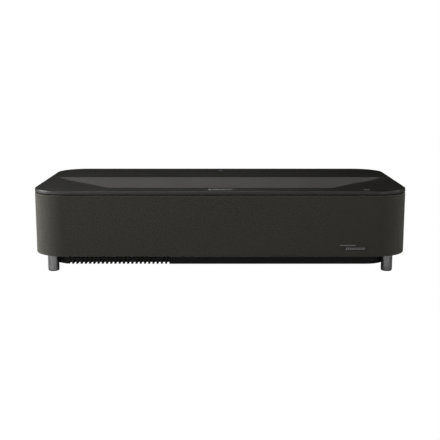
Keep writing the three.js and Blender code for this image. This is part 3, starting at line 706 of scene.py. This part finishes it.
def build_badge():
    """A small plain badge on the cloth: a row of short bars over a row of taller slanted ones."""
    stand = Matrix.Translation((BADGE_X, -HALF_D, BADGE_Z)) @ Matrix.Rotation(math.pi / 2, 4, "X")
    backing = Shape()
    for half_x, half_y, r, x, y in ((15.0, 1.7, 0.5, -10.0, 4.0), (20.5, 3.2, 0.8, 4.2, -2.2)):
        sheet = plate(rounded(half_x, half_y, r, 4), -0.4, 0.35, edge=0.15)
        backing.add(sheet, Matrix.Translation((x, y, 0)))
    piece("badge_plate", backing, DARK_METAL, "badge_metal", node="sound_badge", place=stand)
    bars = Shape()
    for k in range(12):
        left = -24.2 + 2.4 * k
        bars.add(block(left, left + 1.4, 3.0, 5.0, 0.25, 0.6, edge=0.08))
    for k in range(9):
        left = -14.2 + 4.0 * k
        slant = [(left, -4.4), (left + 1.9, -4.4), (left + 3.1, 0.0), (left + 1.2, 0.0)]
        bars.add(plate(slant, 0.25, 0.6, edge=0.08))
    piece("badge_bars", bars, BADGE, "badge_metal", place=stand)


# ---------------------------------------------------------------- feet
def stud_shape():
    """A threaded stud: its radius follows a helix."""
    shape = Shape()
    steps, rows = 28, int((STUD_Z1 - STUD_Z0) / THREAD_PITCH * 6)
    rings = []
    for row in range(rows + 1):
        z = STUD_Z0 + (STUD_Z1 - STUD_Z0) * row / rows
        fade = min(1, (STUD_Z1 - z) / 2, (z - STUD_Z0) / 2)
        ring = []
        for k in range(steps):
            phase = (z / THREAD_PITCH - k / steps) % 1
            depth = THREAD_DEPTH * fade * abs(2 * phase - 1)
            r = STUD_R - depth - (0.5 if z > STUD_Z1 - 0.3 else 0)
            a = 2 * math.pi * k / steps
            ring.append((r * math.cos(a), r * math.sin(a), z))
        rings.append(shape.ring(ring))
    shape.bands(rings)
    shape.fill(rings[0])
    shape.fill(rings[-1])
    return shape


def build_feet():
    sleeve = turned(
        [
            (0, 8), (3, 8), (3, 1.4), (9.6, 1.4), (9.9, 1.45), (10.35, 1.8), (10.55, 2.2), (FOOT_R, 2.6),
            (FOOT_R, 33.6), (10.2, 33.9), (10.2, 34.5), (FOOT_R, 34.8), (FOOT_R, 36.2), (10.45, 36.5),
            (10.1, 36.7), (STUD_R - 0.5, 36.7), (STUD_R - 0.5, 38.2), (0, 38.2),
        ]
    )
    sleeve.add(stud_shape())
    pad = turned(
        [
            (0, 0.3), (7.2, 0.3), (7.5, 0), (9.2, 0), (9.7, 0.15), (10.0, 0.5), (10.0, 1.0), (9.9, 1.1),
            (2.6, 1.1), (2.6, 7.4), (0, 7.4),
        ]
    )
    for end, y in (("front", -FOOT_Y), ("rear", FOOT_Y)):
        for side, x in (("left", -FOOT_X), ("right", FOOT_X)):
            at = Matrix.Translation((x, y, 0))
            where = f"{end}_{side}"
            names = f"sleeve_{where}", f"foot_sleeve_{where}"
            piece(f"foot_{where}", sleeve, FOOT, "foot_metal", *names, at)
            names = f"pad_{where}", f"foot_pad_{where}"
            piece(f"foot_rubber_{where}", pad, RUBBER, "foot_rubber", *names, at)


# ---------------------------------------------------------------- casing
def screw_shape():
    """A pan-head screw with a cross recess, its head towards +Z."""
    r = SCREW_R
    head = Shape()
    arm, half = 0.62 * r, 0.16 * r
    cross = [
        (arm, -half), (arm, half), (half, half), (half, arm), (-half, arm), (-half, half),
        (-arm, half), (-arm, -half), (-half, -half), (-half, -arm), (half, -arm), (half, -half),
    ]
    head.add(plate(circle(r, steps=32), 0, 0.42 * r, holes=[cross], edge=0.12 * r))
    head.add(turned([(0, -0.1), (0.8 * r, -0.1), (0.8 * r, 0.12 * r), (0, 0.12 * r)], 24))
    return head


def build_shells():
    refined("rear_cover", "rear_shell", SHELL, 0.35)
    refined("bottom_case", "plinth", SHELL, 0.35)
    refined("filter_cover", "filter_drawer_front", SHELL, 0.25, "filter_drawer")


def build_screws():
    back = Matrix.Rotation(-math.pi / 2, 4, "X")
    screws = Shape()
    for x in (-276, -160, 60, 276):
        for z in (46, 141):
            screws.add(screw_shape(), Matrix.Translation((x, HALF_D - 0.1, z)) @ back)
    piece("rear_screws", screws, STEEL, "sheet_steel")
    down = Matrix.Rotation(math.pi, 4, "X")
    screws = Shape()
    for x in (-270, -75, 90, 275):
        for y in (-112, 95):
            if y > 0 or x > -80:  # the filter drawer is at the front left
                screws.add(screw_shape(), Matrix.Translation((x, y, 13.1)) @ down)
    piece("plinth_screws", screws, STEEL, "sheet_steel")


# ---------------------------------------------------------------- sockets
def box_of(node):
    """A CAD node's lowest and highest corner in millimetres."""
    return [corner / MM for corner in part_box(node)]


def build_socket_panel():
    """A plate across the connector bay, cut out round each socket."""
    holes = []
    for name in (*HDMI, "usb_ports", "optical_port"):
        low, high = box_of(name)
        hole = rounded((high.x - low.x) / 2 + 0.25, (high.z - low.z) / 2 + 0.25, 0.6, 4)
        holes.append(shifted(hole, (low.x + high.x) / 2, -(low.z + high.z) / 2))
    x0, x1, z0, z1 = BAY
    outline = rounded((x1 - x0) / 2 - 0.1, (z1 - z0) / 2 - 0.1, 0.8, 4)
    outline = shifted(outline, (x0 + x1) / 2, -(z0 + z1) / 2)
    panel = plate(outline, PANEL_Y - PANEL_T, PANEL_Y, holes, edge=0.2)
    back = Matrix.Rotation(-math.pi / 2, 4, "X")
    piece("socket_panel", panel, INNER, "frame_plastic", place=back)


def build_sockets():
    """The tongues in the sockets and their contacts."""
    tongues, contacts = Shape(), Shape()
    for name in HDMI:
        low, high = box_of(name)
        x, z = (low.x + high.x) / 2, (low.z + high.z) / 2
        tongues.add(block(x - 5.2, x + 5.2, high.y - 10.5, high.y - 1.5, z - 0.7, z + 0.7, edge=0.1))
        for k in range(9):
            left = x - 4.4 + k
            contacts.add(block(left, left + 0.45, high.y - 9, high.y - 2, z - 0.85, z - 0.6, edge=0.05))
    low, high = box_of("usb_ports")
    x = (low.x + high.x) / 2
    for z in (low.z + 5.4, low.z + 13.4):
        tongues.add(block(x - 5.4, x + 5.4, high.y - 10.5, high.y - 1.5, z - 0.9, z + 0.9, edge=0.1))
        for k in range(4):
            left = x - 4.0 + 2.2 * k
            contacts.add(block(left, left + 1.1, high.y - 9, high.y - 3, z - 1.05, z - 0.8, edge=0.05))
    piece("socket_tongues", tongues, INNER, "frame_plastic")
    piece("socket_contacts", contacts, COPPER, "heat_pipe_copper")


# ---------------------------------------------------------------- what stays as the CAD made it
KEPT = {
    # the grille frame's near-black colour is partly its own black plastic and partly painted shade for
    # the shadow gap
    FRAME_BLACK_AND_PAINTED_SHADE: ("grille_frame",),
    INNER: (
        "shutter_rail_left", "shutter_rail_right", "window_frame", "mirror_hood",
        "projection_lens", "exhaust_fan_frame", "exhaust_fan_rotor", "intake_fan_frame",
        "intake_fan_rotor", "ac_inlet", "button_switch", "speaker_box_left", "speaker_box_right",
    ),
    STEEL: (
        "chassis_plate", "shutter_motor", "focus_motor", "phosphor_motor", "wheel_housing",
        "hdmi_port_1", "hdmi_port_2", "hdmi_port_3", "usb_ports", "optical_port",
        "speaker_driver_left", "speaker_driver_right",
    ),
    CAST: ("light_engine", "laser_module", "laser_heatsink", "phosphor_wheel"),
    COPPER: ("heat_pipe",),
    WINDOW: ("projection_window",),
    SILVER: ("concave_mirror",),
    BOARD: ("power_supply", "main_board"),
    NYLON: ("shutter_rack", "shutter_pinion", "focus_ring", "focus_pinion"),
    FLEECE: ("filter_element",),
    CONE: ("speaker_cone_left", "speaker_cone_right"),
}


def finish_kept():
    for material, names in KEPT.items():
        for name in names:
            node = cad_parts[name]
            node.data.materials.clear()
            node.data.materials.append(material)


# ---------------------------------------------------------------- stage
def floor_material():
    """A pale floor: even white to the camera, mid grey to the object, and clear from below."""
    pale = bpy.data.materials.new("pale_floor")
    pale.use_nodes = True
    tree = pale.node_tree
    mix = tree.nodes.new("ShaderNodeMixShader")
    ray = tree.nodes.new("ShaderNodeLightPath")
    tree.links.new(ray.outputs["Is Camera Ray"], mix.inputs["Fac"])
    for slot, (base, glow) in enumerate((FLOOR_LIT, FLOOR_SEEN), 1):
        shader = tree.nodes.new("ShaderNodeBsdfPrincipled")
        shader.inputs["Base Color"].default_value = (base, base, base, 1)
        shader.inputs["Roughness"].default_value = 0.9
        shader.inputs["Specular IOR Level"].default_value = 0.0
        shader.inputs["Emission Color"].default_value = (1, 1, 1, 1)
        shader.inputs["Emission Strength"].default_value = glow
        tree.links.new(shader.outputs["BSDF"], mix.inputs[slot])

    # from below, the floor doesn't hide the object
    clear = tree.nodes.new("ShaderNodeBsdfTransparent")
    side = tree.nodes.new("ShaderNodeNewGeometry")
    sided = tree.nodes.new("ShaderNodeMixShader")
    tree.links.new(side.outputs["Backfacing"], sided.inputs["Fac"])
    tree.links.new(mix.outputs["Shader"], sided.inputs[1])
    tree.links.new(clear.outputs["BSDF"], sided.inputs[2])
    tree.links.new(sided.outputs["Shader"], tree.nodes["Material Output"].inputs["Surface"])
    return pale


def build_floor():
    floor = bpy.data.meshes.new("floor")
    h = FLOOR_HALF
    floor.from_pydata([(-h, -h, 0), (h, -h, 0), (h, h, 0), (-h, h, 0)], [], [(0, 1, 2, 3)])
    obj = bpy.data.objects.new("floor", floor)
    bpy.context.scene.collection.objects.link(obj)
    obj.location.z = FLOOR_Z
    floor.materials.append(floor_material())


def build_world():
    """White behind the object; only the softboxes light it."""
    world = bpy.data.worlds.new("studio")
    bpy.context.scene.world = world
    world.use_nodes = True
    tree = world.node_tree
    ray = tree.nodes.new("ShaderNodeLightPath")
    seen = tree.nodes["Background"]
    seen.inputs["Color"].default_value = (1, 1, 1, 1)
    dark = tree.nodes.new("ShaderNodeBackground")
    dark.inputs["Color"].default_value = (0, 0, 0, 1)
    mix = tree.nodes.new("ShaderNodeMixShader")
    tree.links.new(ray.outputs["Is Camera Ray"], mix.inputs["Fac"])
    tree.links.new(dark.outputs["Background"], mix.inputs[1])
    tree.links.new(seen.outputs["Background"], mix.inputs[2])
    tree.links.new(mix.outputs["Shader"], tree.nodes["World Output"].inputs["Surface"])


def softbox(name, place, aim, size, watts):
    light = bpy.data.lights.new(name, "AREA")
    light.shape = "RECTANGLE"
    light.size, light.size_y = size
    light.energy = watts
    obj = bpy.data.objects.new(name, light)
    bpy.context.scene.collection.objects.link(obj)
    obj.location = place
    obj.visible_camera = False
    obj.rotation_euler = (Vector(aim) - Vector(place)).to_track_quat("-Z", "Y").to_euler()


def around(azimuth, height=0.74):
    """A place beside the object; the azimuth runs from the viewers' side towards the left."""
    turn = math.radians(azimuth)
    return (-SIDE_LIGHTS * math.sin(turn), -SIDE_LIGHTS * math.cos(turn), height)


def build_lights():
    middle = (0, 0, 0.1)
    tall = (0.7, 1.0)
    softbox("left_key", around(80), middle, tall, 45.1)
    softbox("left_rear", around(95), middle, tall, 18.4)
    softbox("right_front", around(-60), middle, tall, 3.9)
    softbox("right_side", around(-85), middle, tall, 11.4)
    softbox("top_near", (-0.2, -0.75, 0.95), (0, -0.1, 0.1), (1.0, 0.4), 7.5)
    softbox("rear_top", (0.2, 1.2, 2.4), middle, (1.6, 1.0), 1.2)
    softbox("rear_left", (-1.6, 1.7, 1.4), middle, (1.0, 1.0), 2)
    softbox("rear_right", (1.6, 1.7, 1.4), middle, (1.0, 1.0), 1.5)
    softbox("rear_panel", (-0.41, 0.9, 0.8), (-0.41, 0, 0.8), (1.38, 0.4), 0.6)
    for azimuth, watts in LOW_STRIPS:
        name = f"low_strip_{azimuth + 90}"
        softbox(name, around(azimuth, 0.2), (0, 0, 0.08), (0.45, 0.3), watts)


def build_camera():
    data = bpy.data.cameras.new("camera")
    data.lens = CAMERA_LENS
    data.sensor_width = 36
    data.clip_end = 100
    camera = bpy.data.objects.new("camera", data)
    bpy.context.scene.collection.objects.link(camera)
    camera.location = CAMERA_PLACE
    camera.rotation_euler = (math.pi / 2 - CAMERA_PITCH, 0, 0)
    bpy.context.scene.camera = camera
    bpy.context.scene.view_settings.view_transform = "Standard"


build_camera()
build_floor()
build_world()
build_lights()
build_lid()
build_power_key()
build_sensor_lens()
build_status_lamps()
build_cloth()
build_badge()
build_feet()
build_shells()
build_screws()
build_socket_panel()
build_sockets()
finish_kept()

bpy.context.view_layer.update()
